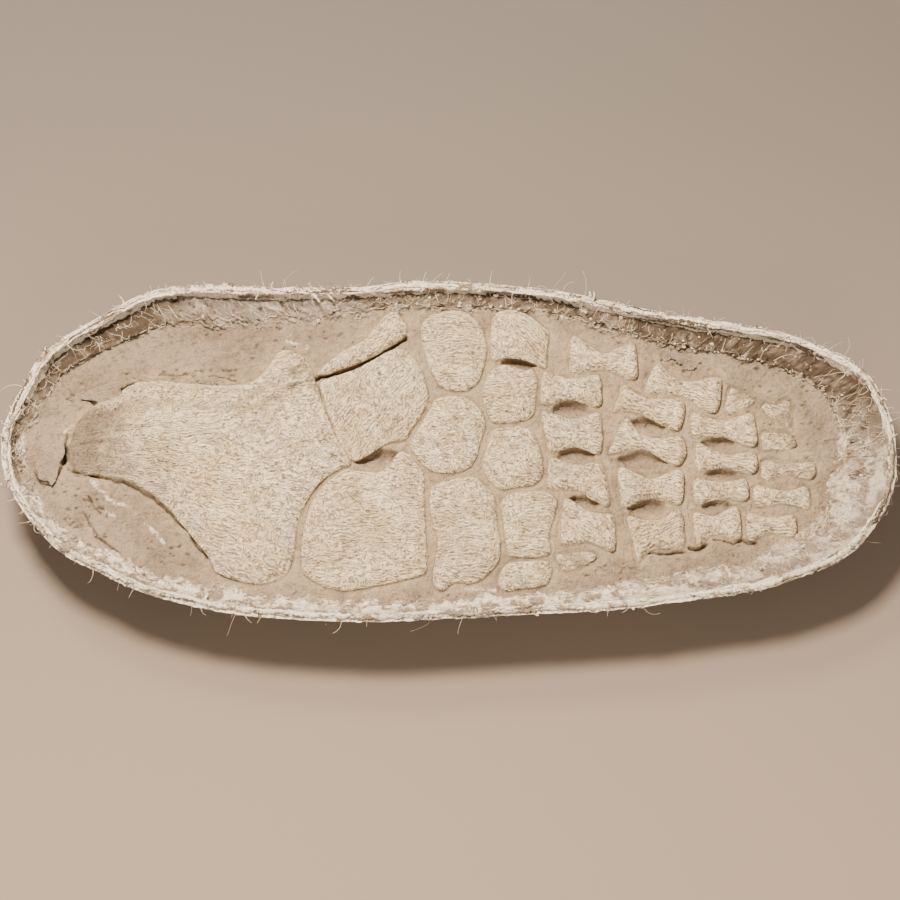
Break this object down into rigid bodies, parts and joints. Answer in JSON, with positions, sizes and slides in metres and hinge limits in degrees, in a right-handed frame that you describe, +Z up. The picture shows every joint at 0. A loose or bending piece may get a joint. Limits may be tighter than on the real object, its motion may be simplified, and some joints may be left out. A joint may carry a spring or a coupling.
{
  "type": "fossil plesiosaur paddle in a plaster field jacket",
  "caption": "Flipper skeleton of a plesiosaur, shoulder bone to finger bones, lying in sediment inside an open oval plaster and burlap field jacket.",
  "frame": {"origin": "middle of the whole piece's footprint, on the surface that it rests on", "axes": "+X from the shoulder end towards the finger tips, +Y towards the leading edge's side, +Z up"},
  "size_m": [1.1885, 0.4798, 0.1284],
  "materials": {
    "fossil_bone": "matte, finely striated",
    "sediment": "matte, gritty",
    "plaster_burlap": "matte, rough, with burlap strips"
  },
  "bodies": {
    "root": {"plaster_jacket": "plaster_burlap", "sediment_matrix": "sediment", "humerus": "fossil_bone", "preaxial_ossicle": "fossil_bone", "radius": "fossil_bone", "ulna": "fossil_bone", "radiale": "fossil_bone", "intermedium": "fossil_bone", "ulnare": "fossil_bone", "distal_carpal_1": "fossil_bone", "distal_carpal_2": "fossil_bone", "distal_carpal_3": "fossil_bone", "distal_carpal_4": "fossil_bone", "distal_carpal_5": "fossil_bone", "metacarpal_1": "fossil_bone", "metacarpal_2": "fossil_bone", "metacarpal_3": "fossil_bone", "metacarpal_4": "fossil_bone", "metacarpal_5": "fossil_bone", "metacarpal_6": "fossil_bone", "phalanx_1_1": "fossil_bone", "phalanx_1_2": "fossil_bone", "phalanx_1_3": "fossil_bone", "phalanx_1_4": "fossil_bone", "phalanx_1_5": "fossil_bone", "phalanx_2_1": "fossil_bone", "phalanx_2_2": "fossil_bone", "phalanx_2_3": "fossil_bone", "phalanx_2_4": "fossil_bone", "phalanx_2_5": "fossil_bone", "phalanx_3_1": "fossil_bone", "phalanx_3_2": "fossil_bone", "phalanx_3_3": "fossil_bone", "phalanx_3_4": "fossil_bone", "phalanx_3_5": "fossil_bone"}
  },
  "joints": []
}
